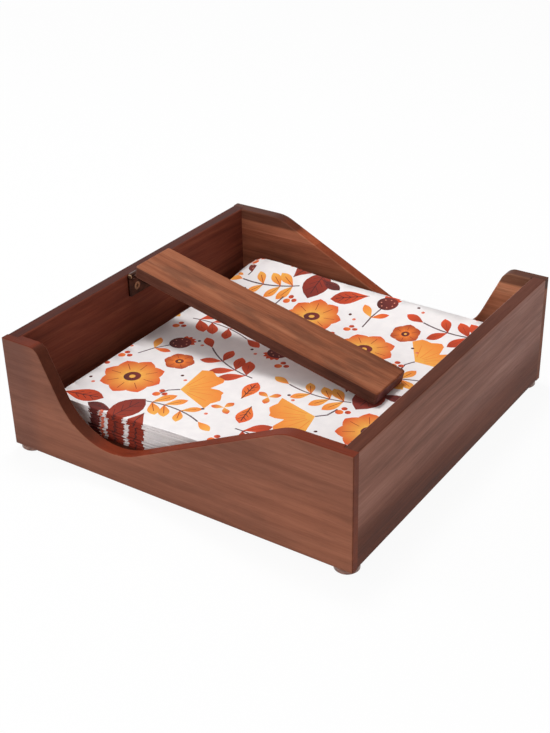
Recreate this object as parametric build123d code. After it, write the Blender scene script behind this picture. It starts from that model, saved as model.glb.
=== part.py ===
from build123d import *
import os
from math import asin, atan2, cos, degrees, hypot, radians, sin, tan

# Wooden napkin tray with a hinged press bar, loaded with a pile of folded napkins.
# Millimetres. +X points from the hinged wall to the free wall, and +Z is up.
# The origin is on the table, under the middle of the tray.

# ---- driving dimensions: napkins, folded in four, and the room that they lie in ----
napkin_side = 165.0
napkin_count = 20
napkin_thickness = 0.8
napkin_back_swell = 0.26
napkin_rise_start = 20.0
gap_to_hinge_wall = 9.8
gap_to_free_wall = 1.2
gap_to_scooped_walls = 6.5

# ---- driving dimensions: boards ----
board_height = 58.0
wall_thickness = 7.0
edge_round = 0.8
inner_edge_chamfer = 0.5
rebate_tongue = 4.4
groove_depth = 3.0
groove_end_gap = 0.4
floor_thickness = 5.0
floor_underside_height = 6.0

# ---- driving dimensions: scoop in the front and back panels ----
scoop_steep_shoulder_inset = 21.0
scoop_gentle_shoulder_inset = 33.0
scoop_steep_angle = 65.0
scoop_gentle_angle = 26.0
scoop_floor_height = 15.2
scoop_steep_shoulder_radius = 6.0
scoop_gentle_shoulder_radius = 22.0

# ---- driving dimensions: feet ----
foot_diameter = 11.5
foot_height = 2.8
foot_edge_inset = 6.0
foot_chamfer = 0.8

# ---- driving dimensions: press bar ----
bar_width = 27.0
bar_thickness = 6.6
bar_length = 144.0
bar_end_setback = 3.2
bar_corner_radius = 1.5
bar_edge_chamfer = 0.5
bar_rest_gap = 0.3

# ---- driving dimensions: butt hinge ----
hinge_length = 25.0
leaf_thickness = 0.9
leaf_reach = 12.0
leaf_corner_radius = 1.2
leaf_bend_place = 1.25
barrel_radius = 1.7
barrel_wall_gap = 0.3
barrel_drop = 0.5
knuckle_count = 5
knuckle_side_gap = 0.25
knuckle_rim_gap = 0.3
pin_radius = 0.8
pin_clearance = 0.05
pin_head_radius = 1.3
pin_head_thickness = 0.5
pin_head_chamfer = 0.25

# ---- driving dimensions: screws ----
screw_spacing = 12.6
screw_leaf_place = 7.6
screw_head_radius = 2.1
screw_head_rim = 0.15
screw_shank_radius = 1.1
screw_length = 6.0
screw_tip_length = 1.4
screw_clearance = 0.05
recess_width = 0.5
recess_length = 2.1
recess_depth = 0.6

# ---- dependent places ----
base = foot_height
wall_top = base + board_height
inner_x = (napkin_side + gap_to_hinge_wall + gap_to_free_wall) / 2
inner_y = napkin_side / 2 + gap_to_scooped_walls
outer_x = inner_x + wall_thickness
outer_y = inner_y + wall_thickness
rebate_y = outer_y - rebate_tongue
floor_low = base + floor_underside_height
floor_top = floor_low + floor_thickness

napkin_x = inner_x - gap_to_free_wall - napkin_side / 2
napkin_top = floor_top + napkin_count * napkin_thickness

leaf_back = barrel_radius + barrel_wall_gap
leaf_face = leaf_back - leaf_thickness
axis_x = -inner_x + leaf_back
axis_z = wall_top - barrel_drop

# The bar hangs down from its hinge until its far lower edge meets the top napkin.
bar_reach = bar_end_setback + bar_length
bar_drop = axis_z - napkin_top - bar_rest_gap
bar_tilt = degrees(asin(bar_drop / hypot(bar_reach, leaf_back)) + atan2(leaf_back, bar_reach))


def block(low, high):
    """Box between two opposite corners."""
    size = [high[i] - low[i] for i in range(3)]
    middle = [(high[i] + low[i]) / 2 for i in range(3)]
    return Pos(*middle) * Box(*size)


def scoop_outline():
    """Outline of a scooped panel, x across and y up, with the steep flank at -x."""
    steep = radians(scoop_steep_angle)
    gentle = radians(scoop_gentle_angle)
    steep_top = (-outer_x + scoop_steep_shoulder_inset, board_height)
    gentle_top = (outer_x - scoop_gentle_shoulder_inset, board_height)
    opening = gentle_top[0] - steep_top[0]
    flank_depth = opening / (1 / tan(steep) + 1 / tan(gentle))
    meeting = (steep_top[0] + flank_depth / tan(steep), board_height - flank_depth)
    # This arc touches both flanks and has its lowest point on the scoop's floor.
    arc_rise = (sin(steep) + sin(gentle)) / sin(steep + gentle) - 1
    floor_radius = (scoop_floor_height - meeting[1]) / arc_rise
    outline = make_face(
        Polyline(
            (-outer_x, 0),
            (outer_x, 0),
            (outer_x, board_height),
            gentle_top,
            meeting,
            steep_top,
            (-outer_x, board_height),
            close=True,
        )
    )
    rounds = (
        (meeting, floor_radius),
        (steep_top, scoop_steep_shoulder_radius),
        (gentle_top, scoop_gentle_shoulder_radius),
    )
    for place, radius in rounds:
        corner = outline.vertices().sort_by_distance(Vector(*place, 0))[0]
        outline = fillet(corner, radius)
    return outline


def scooped_panel():
    """Front panel: scooped board, rebated at both ends and grooved for the floor."""
    face_plane = Plane(origin=(0, -inner_y, base), x_dir=(1, 0, 0), z_dir=(0, -1, 0))
    board = extrude(face_plane * scoop_outline(), wall_thickness)
    board = fillet(board.faces().sort_by(Axis.Y)[0].edges(), edge_round)
    inner_edges = board.faces().sort_by(Axis.Y)[-1].edges().sort_by(Axis.Z)[1:]
    board = chamfer(inner_edges, inner_edge_chamfer)
    rebate = block((inner_x, -rebate_y, 0), (2 * outer_x, 0, 2 * wall_top))
    board -= rebate
    board -= mirror(rebate, Plane.YZ)
    groove_x = inner_x + groove_depth
    groove_y = inner_y + groove_depth
    return board - block((-groove_x, -groove_y, floor_low), (groove_x, 0, floor_top))


def side_panel(side):
    """Plain board on the -X or +X side, grooved for the floor, ends in the rebates."""
    board = block((inner_x, -rebate_y, base), (outer_x, rebate_y, wall_top))
    board = fillet(board.faces().sort_by(Axis.X)[-1].edges().filter_by(Axis.Y), edge_round)
    inner_top = board.faces().sort_by(Axis.X)[0].edges().sort_by(Axis.Z)[-1]
    board = chamfer(inner_top, inner_edge_chamfer)
    groove_x = inner_x + groove_depth
    board -= block((0, -outer_y, floor_low), (groove_x, outer_y, floor_top))
    if side < 0:
        board = Rot(0, 0, 180) * board
    return board


def floor_board():
    """Plain board held in the four grooves."""
    half_x = inner_x + groove_depth - groove_end_gap
    half_y = inner_y + groove_depth - groove_end_gap
    return block((-half_x, -half_y, floor_low), (half_x, half_y, floor_top))


def foot(side_x, side_y):
    """Low round bumper stuck under a corner of the tray."""
    place = Pos(
        side_x * (outer_x - foot_edge_inset),
        side_y * (outer_y - foot_edge_inset),
        foot_height / 2,
    )
    bumper = Cylinder(foot_diameter / 2, foot_height)
    return place * chamfer(bumper.edges().sort_by(Axis.Z)[0], foot_chamfer)


def napkin(index):
    """Folded napkin, the lowest having index 0; its folds swell towards the back."""
    half = napkin_side / 2
    low = floor_top + index * napkin_thickness
    low_back = low + index * napkin_back_swell
    high = low + napkin_thickness
    high_back = low_back + napkin_thickness + napkin_back_swell
    section = make_face(
        Polyline(
            (-half, low),
            (napkin_rise_start, low),
            (half, low_back),
            (half, high_back),
            (napkin_rise_start, high),
            (-half, high),
            close=True,
        )
    )
    side_plane = Plane(origin=(napkin_x, 0, 0), x_dir=(0, 1, 0), z_dir=(1, 0, 0))
    return extrude(side_plane * section, half, both=True)


# The hinge and the bar are drawn about the hinge axis: +X runs along a leaf away from the
# barrel, and +Z points at the wood that the leaf is screwed to.
wall_frame = Plane(origin=(axis_x, 0, axis_z), x_dir=(0, 0, -1), z_dir=(-1, 0, 0))
bar_frame = Pos(axis_x, 0, axis_z) * Rot(0, bar_tilt, 0)


def press_bar():
    """Flat bar with eased edges, set back from the barrel so that it clears the wall."""
    half_width = bar_width / 2
    board = block(
        (bar_end_setback, -half_width, leaf_back),
        (bar_reach, half_width, leaf_back + bar_thickness),
    )
    board = fillet(board.edges().filter_by(Axis.Z), bar_corner_radius)
    faces = board.faces().sort_by(Axis.Z)
    return chamfer([*faces[0].edges(), *faces[-1].edges()], bar_edge_chamfer)


def hinge_leaf(first_knuckle):
    """Leaf with every second knuckle of the barrel, countersunk for its screws."""
    plate_start = barrel_radius + knuckle_rim_gap
    half_length = hinge_length / 2
    plate = block((plate_start, -half_length, leaf_face), (leaf_reach, half_length, leaf_back))
    corners = plate.edges().filter_by(Axis.Z).sort_by(Axis.X)[-2:]
    leaf = fillet(corners, leaf_corner_radius)
    strap = make_face(
        Polyline(
            (0, barrel_radius),
            (leaf_bend_place, leaf_back),
            (plate_start, leaf_back),
            (plate_start, leaf_face),
            (leaf_bend_place, leaf_face),
            (0, barrel_radius - leaf_thickness),
            close=True,
        )
    )
    section = strap + Circle(barrel_radius) - Circle(pin_radius + pin_clearance)
    pitch = (hinge_length + knuckle_side_gap) / knuckle_count
    for index in range(first_knuckle, knuckle_count, 2):
        end = -half_length + index * pitch + pitch - knuckle_side_gap
        end_plane = Plane(origin=(0, end, 0), x_dir=(1, 0, 0), z_dir=(0, -1, 0))
        leaf += extrude(end_plane * section, pitch - knuckle_side_gap)
    return leaf - screw_holes()


def screw_body(extra):
    """Countersunk screw, head at the bottom and tip up; extra is added all round."""
    shank = screw_shank_radius + extra
    head = screw_head_radius + extra
    cone_end = screw_head_rim + screw_head_radius - screw_shank_radius
    profile = Polyline(
        (0, 0, 0),
        (head, 0, 0),
        (head, 0, screw_head_rim),
        (shank, 0, cone_end),
        (shank, 0, screw_length - screw_tip_length),
        (0, 0, screw_length + extra),
        close=True,
    )
    return revolve(make_face(profile), Axis.Z)


def screw_places():
    """Places of the two screws in a leaf, on the leaf's open face."""
    return [Pos(screw_leaf_place, side * screw_spacing / 2, leaf_face) for side in (-1, 1)]


def screw_holes():
    """Clearance for the two screws of a leaf."""
    first, second = [place * screw_body(screw_clearance) for place in screw_places()]
    return first + second


def leaf_screws(frame):
    """The two screws of a leaf, each with a cross recess."""
    screw = screw_body(0)
    for turn in (0, 90):
        slot = block(
            (-recess_length / 2, -recess_width / 2, -recess_depth),
            (recess_length / 2, recess_width / 2, recess_depth),
        )
        screw -= Rot(0, 0, turn) * slot
    return Compound(children=[frame * (place * screw) for place in screw_places()])


def hinge_pin():
    """Pin through all the knuckles, with a riveted head at each end."""
    pin = Cylinder(pin_radius, hinge_length)
    for side in (-1, 1):
        head = Cylinder(pin_head_radius, pin_head_thickness)
        rim = head.edges().filter_by(GeomType.CIRCLE).sort_by(Axis.Z)[-1 if side > 0 else 0]
        lift = Pos(0, 0, side * (hinge_length + pin_head_thickness) / 2)
        pin += lift * chamfer(rim, pin_head_chamfer)
    return Pos(axis_x, 0, axis_z) * Rot(90, 0, 0) * pin


front_panel = scooped_panel()
holes = screw_holes()

nodes = {
    "front_panel": front_panel,
    "back_panel": Rot(0, 0, 180) * front_panel,
    "hinge_side_panel": side_panel(-1) - wall_frame * holes,
    "free_side_panel": side_panel(1),
    "floor_board": floor_board(),
    "foot_front_hinge_side": foot(-1, -1),
    "foot_front_free_side": foot(1, -1),
    "foot_back_hinge_side": foot(-1, 1),
    "foot_back_free_side": foot(1, 1),
    "hinge_wall_leaf": wall_frame * hinge_leaf(0),
    "hinge_pin": hinge_pin(),
    "wall_leaf_screws": leaf_screws(wall_frame),
    "press_bar": bar_frame * (press_bar() - holes),
    "hinge_bar_leaf": bar_frame * hinge_leaf(1),
    "bar_leaf_screws": leaf_screws(bar_frame),
}
for number in range(1, napkin_count + 1):
    nodes[f"napkin_{number:02d}"] = napkin(number - 1)

os.makedirs("parts", exist_ok=True)
for name, shape in nodes.items():
    export_step(shape, f"parts/{name}.step")

print("hinge axis", round(axis_x, 3), round(axis_z, 3))
print("bar tilt at rest", round(bar_tilt, 3))
print("tray", round(2 * outer_x, 3), round(2 * outer_y, 3), round(wall_top, 3))
print("top napkin", round(napkin_top, 3), "floor", round(floor_top, 3))
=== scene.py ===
import math
import random

import bpy
from mathutils import Matrix, Vector, noise
from mathutils.geometry import delaunay_2d_cdt


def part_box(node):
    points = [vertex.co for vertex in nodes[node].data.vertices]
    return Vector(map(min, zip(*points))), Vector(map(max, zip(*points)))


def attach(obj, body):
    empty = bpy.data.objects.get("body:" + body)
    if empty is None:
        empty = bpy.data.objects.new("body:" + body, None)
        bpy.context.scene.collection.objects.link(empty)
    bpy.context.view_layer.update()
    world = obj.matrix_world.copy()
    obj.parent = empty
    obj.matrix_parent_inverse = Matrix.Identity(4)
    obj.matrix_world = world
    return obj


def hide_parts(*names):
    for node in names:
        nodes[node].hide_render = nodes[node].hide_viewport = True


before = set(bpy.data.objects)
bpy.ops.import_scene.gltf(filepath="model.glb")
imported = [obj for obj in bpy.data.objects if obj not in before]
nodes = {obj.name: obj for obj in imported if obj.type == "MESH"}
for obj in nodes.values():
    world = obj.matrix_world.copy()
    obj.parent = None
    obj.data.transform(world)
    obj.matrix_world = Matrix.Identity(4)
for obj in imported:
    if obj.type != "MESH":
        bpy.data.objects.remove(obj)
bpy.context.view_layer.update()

# Lengths are in metres; MM turns millimetres into them.
MM = 0.001


# ---------------------------------------------------------------- helpers


def srgb(red, green, blue):
    """Linear colour with alpha, from 0-255 display values."""
    channels = []
    for value in (red, green, blue):
        part = value / 255
        channels.append(part / 12.92 if part <= 0.04045 else ((part + 0.055) / 1.055) ** 2.4)
    return (*channels, 1.0)


class Shader:
    """Material made node by node; an input is a number, a colour or another node's output."""

    def __init__(self, name):
        self.material = bpy.data.materials.new(name)
        self.material.use_nodes = True
        self.tree = self.material.node_tree
        self.surface = self.tree.nodes["Principled BSDF"]

    def add(self, kind, inputs=(), **settings):
        node = self.tree.nodes.new(kind)
        for name, value in settings.items():
            setattr(node, name, value)
        self.feed(node, dict(inputs))
        return node

    def feed(self, node, inputs):
        for key, value in inputs.items():
            if isinstance(value, bpy.types.NodeSocket):
                self.tree.links.new(value, node.inputs[key])
            else:
                node.inputs[key].default_value = value

    def math(self, operation, first, second=0.0):
        return self.add("ShaderNodeMath", {0: first, 1: second}, operation=operation).outputs[0]

    def mix(self, factor, first, second, blend="MIX"):
        node = self.add("ShaderNodeMix", data_type="RGBA", blend_type=blend)
        self.feed(node, {0: factor, 6: first, 7: second})
        return node.outputs[2]

    def noise(self, vector, scale, detail=3.0, roughness=0.55):
        """Noise in 0-1; scale is (x, y, z), in waves per metre."""
        stretched = self.add("ShaderNodeMapping", {"Vector": vector, "Scale": scale})
        texture = self.add("ShaderNodeTexNoise", {"Vector": stretched.outputs[0]})
        self.feed(texture, {"Scale": 1.0, "Detail": detail, "Roughness": roughness})
        return texture.outputs[0]

    def ramp(self, value, *stops):
        """Colour ramp from (place, colour) stops."""
        node = self.add("ShaderNodeValToRGB", {0: value})
        band = node.color_ramp
        while len(band.elements) < len(stops):
            band.elements.new(0.5)
        for element, (place, colour) in zip(band.elements, stops):
            element.position = place
            element.color = colour
        return node.outputs[0]

    def step(self, value, start, end):
        """0 before start, 1 past end, smooth between; end may be the lower of the two."""
        node = self.add("ShaderNodeMapRange", {0: value, 1: start, 2: end, 3: 0.0, 4: 1.0})
        node.interpolation_type = "SMOOTHSTEP"
        return node.outputs[0]

    def bump(self, height, strength, distance):
        node = self.add("ShaderNodeBump", {"Height": height})
        self.feed(node, {"Strength": strength, "Distance": distance})
        return node.outputs[0]


def dress(names, material):
    """Gives CAD nodes their material."""
    for name in names:
        nodes[name].data.materials.clear()
        nodes[name].data.materials.append(material)


# ---------------------------------------------------------------- camera, light and floor

# Solved from the tray's eight visible corners in the photograph.
camera_place = Vector((304.418, -455.786, 337.365)) * MM
camera_azimuth = math.radians(34.3146)
camera_elevation = math.radians(29.4818)
camera_roll = math.radians(-1.3433)
camera_lens = 62.42
camera_sensor = 36.0


def make_camera():
    flat = math.cos(camera_elevation)
    back = Vector((
        math.sin(camera_azimuth) * flat,
        -math.cos(camera_azimuth) * flat,
        math.sin(camera_elevation),
    ))
    level_right = Vector((math.cos(camera_azimuth), math.sin(camera_azimuth), 0))
    level_up = back.cross(level_right)
    right = level_right * math.cos(camera_roll) + level_up * math.sin(camera_roll)
    up = back.cross(right)
    data = bpy.data.cameras.new("camera")
    data.lens = camera_lens
    data.sensor_width = camera_sensor
    data.clip_start = 0.01
    data.clip_end = 50
    camera = bpy.data.objects.new("camera", data)
    bpy.context.scene.collection.objects.link(camera)
    camera.matrix_world = Matrix((
        (right.x, up.x, back.x, camera_place.x),
        (right.y, up.y, back.y, camera_place.y),
        (right.z, up.z, back.z, camera_place.z),
        (0, 0, 0, 1),
    ))
    bpy.context.scene.camera = camera


def make_lamp(name, side, distance, size, power):
    """Square white softbox that shines on the tray's middle from one side."""
    tray_middle = Vector((0, 0, 30 * MM))
    direction = Vector(side).normalized()
    data = bpy.data.lights.new(name, "AREA")
    data.shape = "SQUARE"
    data.size = size
    data.energy = power
    lamp = bpy.data.objects.new(name, data)
    bpy.context.scene.collection.objects.link(lamp)
    lamp.location = tray_middle + direction * distance
    lamp.rotation_euler = direction.to_track_quat("Z", "Y").to_euler()


def seen_directly(tree):
    """1 for camera, mirror and glass rays, which see the background's own white."""
    path = tree.nodes.new("ShaderNodeLightPath")
    total = None
    for ray in ("Is Camera Ray", "Is Glossy Ray", "Is Transmission Ray"):
        if total is None:
            total = path.outputs[ray]
            continue
        sum_node = tree.nodes.new("ShaderNodeMath")
        sum_node.operation = "MAXIMUM"
        tree.links.new(total, sum_node.inputs[0])
        tree.links.new(path.outputs[ray], sum_node.inputs[1])
        total = sum_node.outputs[0]
    return total


def make_world(ambient):
    world = bpy.data.worlds.new("studio")
    world.use_nodes = True
    bpy.context.scene.world = world
    tree = world.node_tree
    background = tree.nodes["Background"]
    background.inputs["Color"].default_value = (1, 1, 1, 1)
    strength = tree.nodes.new("ShaderNodeMapRange")
    strength.inputs["To Min"].default_value = ambient
    strength.inputs["To Max"].default_value = 1.0
    tree.links.new(seen_directly(tree), strength.inputs["Value"])
    tree.links.new(strength.outputs[0], background.inputs["Strength"])


def make_floor():
    """Flat floor: the camera sees it almost white, with the tray's soft shadow on it."""
    half = 3.0
    glow_share = 0.93
    mesh = bpy.data.meshes.new("floor")
    corners = [(-half, -half, 0), (half, -half, 0), (half, half, 0), (-half, half, 0)]
    mesh.from_pydata(corners, [], [(0, 1, 2, 3)])
    floor = bpy.data.objects.new("floor", mesh)
    bpy.context.scene.collection.objects.link(floor)
    shader = Shader("floor_white")
    shader.feed(shader.surface, {"Base Color": srgb(244, 244, 244), "Roughness": 0.9})
    shader.feed(shader.surface, {"Specular IOR Level": 0.0})
    glow = shader.add("ShaderNodeEmission", {"Color": (1, 1, 1, 1), "Strength": 1.0})
    glowing = shader.math("MULTIPLY", seen_directly(shader.tree), glow_share)
    mixed = shader.add("ShaderNodeMixShader", {0: glowing, 1: shader.surface.outputs[0]})
    shader.feed(mixed, {2: glow.outputs[0]})
    output = shader.tree.nodes["Material Output"]
    shader.tree.links.new(mixed.outputs[0], output.inputs["Surface"])
    mesh.materials.append(shader.material)


bpy.context.scene.view_settings.view_transform = "Standard"
make_camera()
make_world(ambient=0.3)
make_lamp("key", side=(-0.16, 0.14, 1.0), distance=1.1, size=0.3, power=7.0)
make_lamp("right_fill", side=(1.0, 0.1, 0.3), distance=1.3, size=0.8, power=1.9)
make_lamp("left_fill", side=(-1.0, -0.4, 0.6), distance=1.3, size=0.8, power=3.6)
make_lamp("front_fill", side=(0.1, -1.0, 0.4), distance=1.3, size=0.7, power=5.4)
make_lamp("rim", side=(-0.7, 0.72, 0.16), distance=1.3, size=0.7, power=1.6)
make_floor()


# ---------------------------------------------------------------- wood

# Directions of the boards' grain and faces; the press bar slopes down over the pile.
axis_x, axis_y, axis_z = (Vector(unit) for unit in ((1, 0, 0), (0, 1, 0), (0, 0, 1)))
bar_tilt = math.radians(12.6)
bar_along = Vector((math.cos(bar_tilt), 0, -math.sin(bar_tilt)))
bar_face = bar_along.cross(axis_y)

# Dark, middle and light colours of each board's faces. The back board's are partly painted
# light, lighter for the light on its inner face, and the hinge board's partly painted shade,
# darker for the shade on its inner face.
front_tones = (srgb(116, 71, 55), srgb(137, 87, 68), srgb(154, 100, 79))
free_tones = (srgb(108, 68, 55), srgb(138, 93, 78), srgb(162, 116, 101))
hinge_tones = (srgb(83, 40, 31), srgb(115, 59, 44), srgb(144, 81, 60))
back_tones = (srgb(111, 62, 44), srgb(148, 87, 63), srgb(174, 108, 80))
bar_tones = (srgb(101, 54, 35), srgb(142, 83, 57), srgb(169, 107, 77))

# Factors on a board's colour: in smoky clouds, and on its edges, rightward slopes and ends. On
# the front and back boards the slope tint is painted shade and painted light.
smoke_tint = (0.55, 0.6, 0.66, 1)
plain_sides = ((0.35, 0.24, 0.21, 1), (0.63, 0.42, 0.36, 1), (0.63, 0.42, 0.36, 1))
# The front's slope tint is painted shade: its rightward slopes are darker than its other edges.
front_sides = ((0.7, 0.3, 0.19, 1), (0.35, 0.225, 0.18, 1), (0.63, 0.42, 0.36, 1))
free_sides = ((0.36, 0.23, 0.18, 1), (0.36, 0.23, 0.18, 1), (0.63, 0.42, 0.36, 1))
# The back's slope tint is painted light: its rightward slopes are lighter than its other edges.
back_sides = ((0.56, 0.46, 0.46, 1), (0.8, 0.5, 0.35, 1), (0.5, 0.42, 0.44, 1))
bar_sides = ((0.43, 0.5, 0.7, 1), (0.55, 0.6, 0.9, 1), (0.64, 0.72, 1.3, 1))

# Bands of another tint, as (axis, start, end, tint). Apart from the darker top of the front
# board, they are painted light, painted shade and painted sheen.
board_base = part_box("front_panel")[0].z
# Painted shade: the free side panel darkens from 32 mm down to 12 mm above the board's base,
# standing in for the shade low on its outer face.
painted_low_shade = ("Z", board_base + 32 * MM, board_base + 12 * MM, (0.5, 0.35, 0.28, 1))
# Painted light: the back board is lighter from about 49.5 mm up, for the lit band at the top of
# its inner face.
painted_light_band = ("Z", 49.35 * MM, 49.65 * MM, (1.28, 1.4, 1.45, 1))
# Painted shade: the back board darkens from 54.4 mm up, fully past 56 mm, for the shade along
# its rounded top.
painted_shade_top = ("Z", 54.4 * MM, 56.0 * MM, (0.35, 0.35, 0.38, 1))
dark_top = ("Z", 26 * MM, 44 * MM, (0.84, 0.86, 0.9, 1))
# Painted shade: the front board darkens towards its left end.
painted_shade_left_end = ("X", -72 * MM, -86 * MM, (0.76, 0.82, 0.92, 1))
# Painted light: the front board gets lighter towards its right end.
painted_light_right_end = ("X", 30 * MM, 75 * MM, (1.16, 1.14, 1.1, 1))
# Painted light and painted sheen: the back board's right post is lighter and greyer, fully past
# 74 mm along x.
painted_sheen_post = ("X", 60 * MM, 74 * MM, (1.35, 1.65, 1.65, 1))
# Painted sheen: the free side panel gets lighter and greyer from front to back.
painted_sheen_back = ("Y", -60 * MM, 60 * MM, (1.05, 1.15, 1.25, 1))


def wood(name, grain, face, tones, sides, seed, contrast=1.0, smoke=0.0, bands=()):
    """Lacquered stained wood.

    grain is the direction of the fibres and face the board's own normal. tones colour its faces
    and sides tint its edges, slopes and ends. seed shifts the grain, contrast sharpens it and
    smoke is how much grey stain lies on it in clouds. In a band the colour takes on the tint
    from start to end along the axis, and keeps it past the end. Most bands, and the front and
    back boards' slope tints, are painted light, painted shade and painted sheen.
    """
    shader = Shader(name)
    across = face.cross(grain)
    turn = Matrix((grain, across, face)).to_euler()
    coordinates = shader.add("ShaderNodeTexCoord")
    board = shader.add("ShaderNodeMapping", {"Vector": coordinates.outputs["Object"]})
    shader.feed(board, {"Rotation": turn, "Location": (seed * 0.37, seed * 0.53, seed * 0.29)})
    place = board.outputs[0]

    wave = shader.noise(place, (9, 30, 30), 2.0)
    bend = shader.add("ShaderNodeCombineXYZ", {"Y": shader.math("MULTIPLY", wave, 6 * MM)})
    bent = shader.add("ShaderNodeVectorMath", {0: place, 1: bend.outputs[0]})
    place = bent.outputs[0]

    # The scales run along the grain, across it and through the board.
    streaks = shader.noise(place, (11, 250, 200), 7.0, 0.66)
    broad = shader.noise(place, (7, 40, 40), 2.0)
    fine = shader.noise(place, (48, 1100, 1100), 4.0, 0.65)
    clouds = shader.step(shader.noise(place, (22, 80, 80), 5.0, 0.65), 0.46, 0.66)
    pores = shader.step(shader.noise(place, (110, 1900, 1900), 1.0), 0.6, 0.7)

    tone = shader.math("MULTIPLY", streaks, 0.48)
    tone = shader.math("ADD", tone, shader.math("MULTIPLY", broad, 0.34))
    tone = shader.math("ADD", tone, shader.math("MULTIPLY", fine, 0.18))
    dark, middle, light = tones
    reach = 0.16 / contrast
    colour = shader.ramp(tone, (0.5 - reach, dark), (0.5, middle), (0.5 + reach, light))
    colour = shader.mix(shader.math("MULTIPLY", pores, 0.28), colour, dark)
    colour = shader.mix(shader.math("MULTIPLY", clouds, smoke), colour, smoke_tint, "MULTIPLY")
    spot = shader.add("ShaderNodeSeparateXYZ", {0: coordinates.outputs["Object"]}).outputs
    # Most bands add painted light, painted shade or painted sheen.
    for axis, start, end, tint in bands:
        colour = shader.mix(shader.step(spot[axis], start, end), colour, tint, "MULTIPLY")

    facing = shader.add("ShaderNodeMapping", {"Vector": coordinates.outputs["Normal"]})
    facing.vector_type = "VECTOR"
    shader.feed(facing, {"Rotation": turn})
    parts = shader.add("ShaderNodeSeparateXYZ", {0: facing.outputs[0]})
    toward_face = shader.math("ABSOLUTE", parts.outputs["Z"])
    on_edge = shader.math("SUBTRACT", 1.0, shader.step(toward_face, 0.45, 0.8))
    # On the front and back boards the slope tint is painted shade and painted light.
    on_slope = shader.step(parts.outputs["X"], 0.15, 0.5)
    on_end = shader.step(shader.math("ABSOLUTE", parts.outputs["X"]), 0.93, 0.98)
    edge, slope, end = sides
    tint = shader.mix(on_end, shader.mix(on_slope, edge, slope), end)
    colour = shader.mix(on_edge, colour, tint, "MULTIPLY")

    gloss = shader.math("MULTIPLY", streaks, 0.25)
    rough = shader.math("ADD", gloss, 0.36)
    relief = shader.math("SUBTRACT", shader.math("MULTIPLY", fine, 0.5), pores)
    shader.feed(shader.surface, {"Base Color": colour, "Roughness": rough})
    shader.feed(shader.surface, {"Normal": shader.bump(relief, 0.4, 0.05 * MM)})
    shader.feed(shader.surface, {"Specular IOR Level": 0.05})
    return shader.material


# The front board's bands darken its top, and add painted shade at its left end and painted light
# at its right end.
dress(["front_panel"], wood(
    "wood_front", axis_x, axis_y, front_tones, front_sides,
    seed=1, smoke=0.3, bands=[dark_top, painted_shade_left_end, painted_light_right_end],
))
# The free side panel's bands are painted shade low down and a painted sheen towards the back.
dress(["free_side_panel"], wood(
    "wood_free", axis_y, axis_x, free_tones, free_sides,
    seed=2, contrast=1.2, smoke=0.3, bands=[painted_low_shade, painted_sheen_back],
))
dress(["hinge_side_panel"], wood(
    "wood_hinge", axis_y, axis_x, hinge_tones, plain_sides,
    seed=3, smoke=0.3,
))
# The back board's bands are painted light and painted shade near its top, and painted light and
# sheen on its right post.
dress(["back_panel"], wood(
    "wood_back", axis_x, axis_y, back_tones, back_sides,
    seed=4, smoke=0.5, bands=[painted_light_band, painted_shade_top, painted_sheen_post],
))
dress(["floor_board"], wood(
    "wood_floor", axis_y, axis_z, hinge_tones, plain_sides,
    seed=5,
))
dress(["press_bar"], wood(
    "wood_bar", bar_along, bar_face, bar_tones, bar_sides,
    seed=6, contrast=1.2, smoke=0.8,
))


# ---------------------------------------------------------------- metal and feet


def metal(name, dark, light):
    """Tarnished metal with faint brush marks, darker in patches."""
    shader = Shader(name)
    coordinates = shader.add("ShaderNodeTexCoord").outputs["Object"]
    patches = shader.noise(coordinates, (420, 420, 420), 4.0)
    scratches = shader.noise(coordinates, (3000, 500, 3000), 2.0)
    colour = shader.ramp(patches, (0.36, dark), (0.66, light))
    rough = shader.math("ADD", shader.math("MULTIPLY", scratches, 0.25), 0.3)
    shader.feed(shader.surface, {"Base Color": colour, "Metallic": 1.0, "Roughness": rough})
    shader.feed(shader.surface, {"Normal": shader.bump(scratches, 0.08, 0.02 * MM)})
    return shader.material


def clear_bumper():
    """Clear soft plastic, which takes on the brown of the board above it."""
    shader = Shader("clear_bumper")
    coordinates = shader.add("ShaderNodeTexCoord").outputs["Object"]
    haze = shader.noise(coordinates, (400, 400, 400), 2.0)
    colour = shader.ramp(haze, (0.3, srgb(106, 68, 54)), (0.7, srgb(150, 106, 90)))
    rough = shader.math("ADD", shader.math("MULTIPLY", haze, 0.15), 0.16)
    shader.feed(shader.surface, {"Base Color": colour, "Roughness": rough, "IOR": 1.45})
    shader.feed(shader.surface, {"Transmission Weight": 0.15})
    return shader.material


bronze = metal("antique_bronze", srgb(44, 26, 20), srgb(78, 48, 36))
worn_brass = metal("worn_brass", srgb(112, 86, 66), srgb(168, 136, 108))
dress(["hinge_wall_leaf", "hinge_bar_leaf"], bronze)
dress(["hinge_pin", "wall_leaf_screws", "bar_leaf_screws"], worn_brass)
dress([name for name in nodes if name.startswith("foot_")], clear_bumper())


# ---------------------------------------------------------------- the napkins' print
# Flat-sheet coordinates in millimetres: the sheet is twice the folded side each way.

AMBER = srgb(247, 180, 82)
ORANGE = srgb(242, 132, 56)
EMBER = srgb(224, 84, 46)
RUST = srgb(168, 62, 40)
MAROON = srgb(126, 50, 44)
COCOA = srgb(88, 44, 42)
STEM = srgb(92, 66, 72)
BLUSH = srgb(232, 146, 120)
PAPER = srgb(244, 239, 238)


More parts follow.
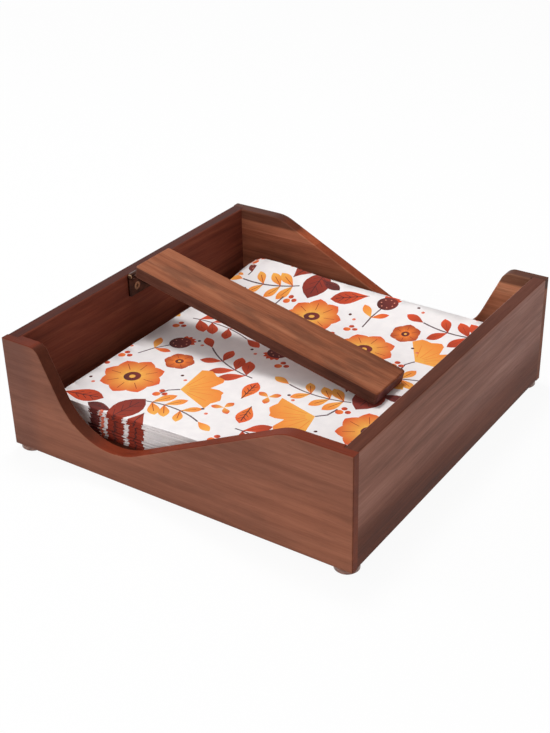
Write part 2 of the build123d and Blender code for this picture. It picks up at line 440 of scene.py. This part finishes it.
class Print:
    """Coloured outlines on the flat sheet; a later one lies over an earlier one."""

    def __init__(self):
        self.outlines = []
        self.fills = []

    def add(self, outline, start, end, inner, outer):
        """Closed outline, shaded from inner to outer colour between two places."""
        self.outlines.append(outline)
        self.fills.append((Vector(start), Vector(end), inner, outer))

    def colour(self, index, place):
        start, end, inner, outer = self.fills[index]
        span = end - start
        share = min(max((place - start).dot(span) / span.length_squared, 0), 1)
        return [a + (b - a) * share for a, b in zip(inner, outer)]

    def disc(self, centre, radius, inner, outer, sides=18):
        outline = []
        for index in range(sides):
            angle = 2 * math.pi * index / sides
            outline.append(centre + Vector((math.cos(angle), math.sin(angle))) * radius)
        edge = Vector((radius, radius)) * 0.7
        self.add(outline, centre - edge, centre + edge, inner, outer)

    def drop(self, base, angle, length, width, inner, outer):
        """Petal or leaflet with a narrow base and a full outer half."""
        steps = 8
        along = Vector((math.cos(angle), math.sin(angle)))
        side = Vector((-along.y, along.x))
        right = []
        left = []
        for index in range(1, steps):
            share = index / steps
            half = width / 2 * math.sin(math.pi * share ** 1.35) ** 0.85
            right.append(base + along * length * share - side * half)
            left.append(base + along * length * share + side * half)
        outline = [base, *right, base + along * length, *reversed(left)]
        self.add(outline, base, base + along * length, inner, outer)

    def stroke(self, path, width, colour):
        """Thin line along a path."""
        left = []
        right = []
        for index, place in enumerate(path):
            before = path[max(index - 1, 0)]
            after = path[min(index + 1, len(path) - 1)]
            along = (after - before).normalized()
            side = Vector((-along.y, along.x)) * width / 2
            left.append(place + side)
            right.append(place - side)
        self.add([*right, *reversed(left)], path[0], path[-1], colour, colour)

    def vein(self, base, angle, length, colour, width):
        """Straight thin line from base, in the direction of angle."""
        along = Vector((math.cos(angle), math.sin(angle)))
        self.stroke([base, base + along * length * 0.5, base + along * length], width, colour)


def rotated(place, angle):
    return Vector((
        place.x * math.cos(angle) - place.y * math.sin(angle),
        place.x * math.sin(angle) + place.y * math.cos(angle),
    ))


def fan(sheet, base, turn, size, inner, outer):
    """Fan-shaped leaf on a stem, with a wavy rim and a notch in its middle."""
    spread = math.radians(60)
    steps = 18
    rim = []
    for index in range(steps + 1):
        share = index / steps
        waves = 0.04 * math.cos(9 * math.pi * share)
        notch = 0.32 * math.exp(-(((share - 0.5) / 0.07) ** 2))
        reach = size * (0.95 + waves - notch)
        rim.append(base + rotated(Vector((reach, 0)), turn + spread * (2 * share - 1)))
    along = rotated(Vector((1, 0)), turn)
    side = rotated(Vector((0, 1)), turn)
    stem = [base, base - along * size * 0.25, base - (along + side / 3) * size * 0.5]
    sheet.stroke(stem, 0.9, STEM)
    sheet.add([base, *rim], base, base + along * size, inner, outer)
    for share in (-0.75, -0.4, -0.12, 0.12, 0.4, 0.75):
        direction = turn + spread * share
        start = base + rotated(Vector((size * 0.2, 0)), direction)
        sheet.vein(start, direction, size * 0.55, outer, 0.4)


def blossom(sheet, centre, turn, radius, petals, inner, outer):
    """Round flower: petals, each with a vein, and a dark heart with a bright middle."""
    sheet.disc(centre, radius * 0.55, inner, inner)
    width = 2.1 * radius * math.sin(math.pi / petals)
    for index in range(petals):
        angle = turn + 2 * math.pi * index / petals
        along = Vector((math.cos(angle), math.sin(angle)))
        base = centre + along * radius * 0.2
        sheet.drop(base, angle, radius * 0.8, width * 0.86, inner, outer)
        sheet.vein(centre + along * radius * 0.42, angle, radius * 0.36, RUST, 0.35)
    sheet.disc(centre, radius * 0.27, COCOA, MAROON)
    sheet.disc(centre, radius * 0.1, AMBER, AMBER, 10)


def leaf(sheet, base, turn, length, width, inner, outer):
    """Single leaf with a midrib and three pairs of side veins."""
    sheet.drop(base, turn, length, width, inner, outer)
    along = rotated(Vector((1, 0)), turn)
    sheet.vein(base, turn, length * 0.86, COCOA, 0.55)
    for share in (0.28, 0.46, 0.64):
        for side in (-0.7, 0.7):
            sheet.vein(base + along * length * share, turn + side, width * 0.4, COCOA, 0.35)


def spray(sheet, centre, turn, length, pairs, inner, outer):
    """Bowed stem with pairs of leaflets and one at its tip."""
    path = []
    steps = 10
    for index in range(steps + 1):
        share = index / steps - 0.5
        bow = (0.25 - share * share) * 0.32 * length
        local = Vector((share * length, bow))
        path.append(centre + rotated(local, turn))
    sheet.stroke(path, 0.8, STEM)
    for index in range(pairs):
        spot = 1 + index * (steps - 2) // pairs
        place = path[spot]
        ahead = path[spot + 1] - path[spot]
        direction = math.atan2(ahead.y, ahead.x)
        size = length * (0.38 - 0.035 * index)
        for side in (-1, 1):
            angle = direction + side * math.radians(52)
            colours = (inner, outer) if side > 0 else (outer, inner)
            sheet.drop(place, angle, size, size * 0.46, *colours)
            sheet.vein(place, angle, size * 0.7, RUST, 0.35)
    ahead = path[-1] - path[-2]
    sheet.drop(path[-1], math.atan2(ahead.y, ahead.x), length * 0.3, length * 0.14, outer, inner)


def seed_head(sheet, foot, turn, length):
    """Dark round seed head with a crown and pale seeds, on a stem with two leaflets."""
    crown_leaves = 5
    crown_degrees = 28
    seeds = 7
    along = rotated(Vector((1, 0)), turn)
    side = rotated(Vector((0, 1)), turn)
    head = foot + along * length
    radius = length * 0.25
    fork = foot + along * length * 0.4 + side * length * 0.05
    sheet.stroke([foot, fork, head], 0.8, STEM)
    sheet.drop(fork, turn + 0.9, length * 0.5, length * 0.2, AMBER, ORANGE)
    sheet.drop(fork, turn - 0.9, length * 0.42, length * 0.17, ORANGE, EMBER)
    for index in range(crown_leaves):
        angle = turn + math.radians(crown_degrees * (index - crown_leaves // 2))
        sheet.drop(head + along * radius * 0.4, angle, radius * 1.1, radius * 0.5, RUST, EMBER)
    sheet.disc(head, radius, COCOA, MAROON)
    for index in range(seeds):
        angle = turn + 2 * math.pi * index / seeds
        sheet.disc(head + rotated(Vector((radius * 0.62, 0)), angle), 0.45, BLUSH, BLUSH, 6)


def napkin_print(sheet_side):
    """Repeat of the motifs over the whole flat sheet; its cells take the sways in turn."""
    sheet = Print()
    cells = 4
    cell = sheet_side / cells
    sways = [math.radians(degrees) for degrees in (-42, -14, 14, 42)]
    for row in range(-1, cells + 1):
        for column in range(-1, cells + 1):
            corner = Vector((column, row)) * cell
            sway = sways[(2 * row + column) % len(sways)]
            motif_cell(sheet, corner, cell, sway, (row + column) % 2)
    return sheet


def motif_cell(sheet, corner, cell, sway, odd):
    """One cell of the repeat; odd cells lie half a turn round.

    Motifs are placed by shares of the cell and sized in millimetres.
    """
    half_turn = math.pi if odd else 0.0
    centre = corner + Vector((cell, cell)) / 2

    def at(x, y):
        return centre + rotated(Vector((x - 0.5, y - 0.5)) * cell, half_turn)

    def way(angle, sway_share=0.3):
        return half_turn + angle + sway * sway_share

    spray(sheet, at(0.7, 0.19), way(0.1), 34, 3, AMBER, ORANGE)
    spray(sheet, at(0.66, 0.84), way(2.95), 38, 3, EMBER, RUST)
    leaf(sheet, at(0.42, -0.1), way(1.6), 28, 15, RUST, MAROON)
    leaf(sheet, at(0.02, 0.06), way(0.45), 21, 11, EMBER, RUST)
    leaf(sheet, at(0.6, -0.03), way(-0.1), 15, 6.5, MAROON, COCOA)
    leaf(sheet, at(0.95, 0.52), way(1.9), 17, 8, ORANGE, EMBER)
    fan(sheet, at(0.59, 0.42), way(0.85), 23, AMBER, ORANGE)
    seed_head(sheet, at(0.1, 0.64), way(1.25), 23)
    blossom(sheet, at(0.25, 0.4), way(0, 1), 16, 8, AMBER, EMBER)
    blossom(sheet, at(0.38, 0.69), way(1, 1), 8, 6, ORANGE, RUST)
    for index in range(3):
        sheet.drop(at(0.93, 0.38), way(index * 2.1, 1), 6.5, 3.6, AMBER, EMBER)
    for x, y in ((0.03, 0.57), (0.5, 0.31), (0.92, 0.95)):
        sheet.disc(at(x, y), 2.0, EMBER, ORANGE, 12)
        sheet.disc(at(x, y) + Vector((3.6, 1.8)), 1.5, RUST, EMBER, 10)
        sheet.disc(at(x, y) + Vector((0.6, 3.8)), 1.5, EMBER, RUST, 10)
    for x, y in ((0.04, 0.27), (0.5, 0.56), (0.33, 0.96), (0.84, 0.3), (0.3, 0.04)):
        sheet.disc(at(x, y), 0.9, COCOA, COCOA, 8)
        sheet.disc(at(x, y) + Vector((4, -3)), 1.0, BLUSH, EMBER, 8)


# ---------------------------------------------------------------- the napkins

napkin_names = sorted(name for name in nodes if name.startswith("napkin_"))
napkin_count = len(napkin_names)
pile_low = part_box(napkin_names[0])[0]
last_low, pile_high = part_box(napkin_names[-1])
folded_side = pile_high.x - pile_low.x
half_side = folded_side / 2
pile_x = (pile_high.x + pile_low.x) / 2
front_thickness = (last_low.z - pile_low.z) / (napkin_count - 1)
back_thickness = (pile_high.z - pile_low.z) / napkin_count

# The pile swells to the back, most beside its left edge, which droops, and puffs at the front.
# Sizes without a unit are shares of the difference between back and front thickness, but for
# edge_droop, which is the share of the swelling that is lost at the left edge.
swell_start = 50 * MM
swell_middle = 1.04
swell_lean = 0.27
bulge_size = 0.4
bulge_x = -64 * MM
bulge_reach = 24 * MM
edge_droop = 0.6
droop_reach = 10 * MM
front_puff = 0.42
puff_x = (-55 * MM, -5 * MM)
puff_y = (-30 * MM, -80 * MM)

# Soft hollows in the pile.
wave_depth = 0.5 * MM
waves_per_metre = 22

# A napkin's layers, how thick and how far apart they are as shares of an even pitch, and how
# crooked it is folded and laid.
layers = 4
ply_share = 0.72
layer_share = 0.88
crooked_fold = 0.7 * MM
crooked_place = 0.8 * MM
crooked_turn = math.radians(0.3)


def smooth_step(value, start, end):
    """0 before start, 1 past end, smooth between; end may be the lower of the two."""
    share = min(max((value - start) / (end - start), 0), 1)
    return share * share * (3 - 2 * share)


def thickness_at(x, y):
    """Thickness of one folded napkin at a place of the pile."""
    bulge = bulge_size * math.exp(-(((x - bulge_x) / bulge_reach) ** 2))
    swell = swell_middle - swell_lean * x / half_side + bulge
    from_left = max(1 - (x + half_side) / droop_reach, 0)
    swell *= 1 - edge_droop * from_left ** 2
    swell *= smooth_step(y, swell_start, half_side)
    puff = front_puff * smooth_step(x, *puff_x) * smooth_step(y, *puff_y)
    return front_thickness + (back_thickness - front_thickness) * (swell + puff)


def place_in_pile(u, v, index, fold_u, fold_v):
    """Where a point of the flat sheet lies once the sheet is folded in four, in the pile.

    The first fold, along the right edge, gives an inner and an outer layer. The second fold
    bends both along the front edge, one round the other.
    """
    pitch = front_thickness / layers
    across = u - fold_u
    small = pitch / 2
    first_turn = max(-math.pi / 2, min(math.pi / 2, across / small))
    x = half_side - small + small * math.cos(first_turn)
    x -= max(abs(across) - small * math.pi / 2, 0)
    radius = pitch * (1 - 0.5 * math.sin(first_turn))
    along = v - fold_v
    second_turn = max(-math.pi / 2, min(math.pi / 2, along / radius))
    y = -half_side + 1.5 * pitch - radius * math.cos(second_turn)
    y += max(abs(along) - radius * math.pi / 2, 0)
    thickness = thickness_at(x, y)
    lift = radius * math.sin(second_turn) * thickness / front_thickness * layer_share
    z = pile_low.z + (index + 0.5) * thickness + lift
    return Vector((x, y, z))


def hollow(x, y, index):
    """Height of the pile's soft hollows, which are deeper towards its top."""
    noise_slice = 3.1
    wave = noise.noise(Vector((x * waves_per_metre, y * waves_per_metre, noise_slice)))
    return -wave_depth * (0.5 + 0.5 * wave) * (index / napkin_count) ** 2


def sheet_lines(fold, sheet_side, spacing):
    """Places of the grid lines across the sheet, in millimetres, closer at the fold."""
    close_to_fold = (0.0, 0.08, 0.165, 0.33, 0.5, 1.2, 4.0)
    places = {0.0, sheet_side}
    for distance in close_to_fold:
        places.update((fold - distance, fold + distance))
    for side in (-1, 1):
        distance = spacing
        while 0 < fold + side * distance < sheet_side:
            places.add(fold + side * distance)
            distance += spacing
    return sorted(places)


def flat_sheet(sheet, used, spacing_u, spacing_v):
    """Cuts the flat sheet along its grid and the used outlines of the print.

    Gives the points, the triangles and, for each triangle, the uppermost outline that it lies
    in, or None.
    """
    triangles_in_hull = 0
    merge_distance = 1e-4
    side = 2 * folded_side / MM
    points = []
    edges = []
    faces = []
    for place in sheet_lines(side / 2, side, spacing_u):
        points += [Vector((place, 0)), Vector((place, side))]
        edges.append((len(points) - 2, len(points) - 1))
    for place in sheet_lines(side / 2, side, spacing_v):
        points += [Vector((0, place)), Vector((side, place))]
        edges.append((len(points) - 2, len(points) - 1))
    for index in used:
        start = len(points)
        points += sheet.outlines[index]
        faces.append(tuple(range(start, len(points))))
    result = delaunay_2d_cdt(points, edges, faces, triangles_in_hull, merge_distance, True)
    cut_points, _, cut_faces, _, _, inside = result
    renumbered = {}
    places = []
    triangles = []
    motifs = []
    for corners, found in zip(cut_faces, inside):
        middle = sum((cut_points[corner] for corner in corners), Vector((0, 0))) / 3
        if not (0 < middle.x < side and 0 < middle.y < side):
            continue
        for corner in corners:
            if corner not in renumbered:
                renumbered[corner] = len(places)
                places.append(cut_points[corner])
        triangles.append([renumbered[corner] for corner in corners])
        motifs.append(used[max(found)] if found else None)
    return places, triangles, motifs


def paper():
    """Soft tissue paper with its print, and the fine embossing of its surface."""
    shader = Shader("printed_tissue")
    ink = shader.add("ShaderNodeVertexColor", layer_name="print").outputs["Color"]
    coordinates = shader.add("ShaderNodeTexCoord").outputs["Object"]
    fibres = shader.noise(coordinates, (900, 900, 900), 4.0, 0.6)
    mottle = shader.noise(coordinates, (160, 160, 160), 3.0)
    shade = shader.ramp(mottle, (0.3, (0.93, 0.93, 0.94, 1)), (0.7, (1, 1, 1, 1)))
    colour = shader.mix(1.0, ink, shade, "MULTIPLY")
    shader.feed(shader.surface, {"Base Color": colour, "Roughness": 0.92})
    shader.feed(shader.surface, {"Specular IOR Level": 0.15, "Sheen Weight": 0.08})
    shader.feed(shader.surface, {"Normal": shader.bump(fibres, 0.25, 0.05 * MM)})
    return shader.material


def folded_napkin(name, index, flat, sheet, material, draw):
    """One napkin: the cut flat sheet, folded in four and laid in its place in the pile."""
    places, triangles, motifs = flat
    fold_u = folded_side + draw.uniform(-crooked_fold, crooked_fold)
    fold_v = folded_side + draw.uniform(-crooked_fold, crooked_fold)
    turn = draw.uniform(-crooked_turn, crooked_turn)
    shift = Vector((
        draw.uniform(-crooked_place, crooked_place),
        draw.uniform(-crooked_place, crooked_place),
        0,
    ))
    middle = folded_side / MM
    vertices = []
    for place in places:
        u = fold_u + (place.x - middle) * MM
        v = fold_v + (place.y - middle) * MM
        u = min(max(u, 0), 2 * folded_side)
        v = min(max(v, 0), 2 * folded_side)
        spot = place_in_pile(u, v, index, fold_u, fold_v)
        spot.z += hollow(spot.x, spot.y, index)
        spot.rotate(Matrix.Rotation(turn, 3, "Z"))
        vertices.append(spot + shift + Vector((pile_x, 0, 0)))
    mesh = bpy.data.meshes.new(name)
    mesh.from_pydata(vertices, [], triangles)
    mesh.polygons.foreach_set("use_smooth", [True] * len(triangles))
    ink = mesh.color_attributes.new("print", "FLOAT_COLOR", "CORNER")
    for polygon, motif in zip(mesh.polygons, motifs):
        for loop in polygon.loop_indices:
            if motif is None:
                ink.data[loop].color = PAPER
            else:
                corner = places[mesh.loops[loop].vertex_index]
                ink.data[loop].color = sheet.colour(motif, corner)
    mesh.materials.append(material)
    piece = bpy.data.objects.new(name, mesh)
    bpy.context.scene.collection.objects.link(piece)
    ply = piece.modifiers.new("ply", "SOLIDIFY")
    ply.thickness = front_thickness / layers * ply_share
    ply.offset = 0
    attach(piece, "root")
    return piece


def crossing_fold(sheet):
    """Indices of the print's outlines that come within reach of the front fold."""
    fold = folded_side / MM
    reach = 1.5
    found = []
    for index, outline in enumerate(sheet.outlines):
        heights = [spot.y for spot in outline]
        if min(heights) < fold + reach and max(heights) > fold - reach:
            found.append(index)
    return found


def make_napkins():
    """The top napkin has a fine grid and the whole print, the others that at the front fold."""
    fine_grid = (11.0, 7.5)
    coarse_grid = (41.0, 12.5)
    draw = random.Random(7)
    sheet = napkin_print(2 * folded_side / MM)
    material = paper()
    top = flat_sheet(sheet, list(range(len(sheet.outlines))), *fine_grid)
    under = flat_sheet(sheet, crossing_fold(sheet), *coarse_grid)
    for index, node in enumerate(napkin_names):
        flat = top if index == napkin_count - 1 else under
        piece = folded_napkin("folded_" + node, index, flat, sheet, material, draw)
        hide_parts(node)


make_napkins()
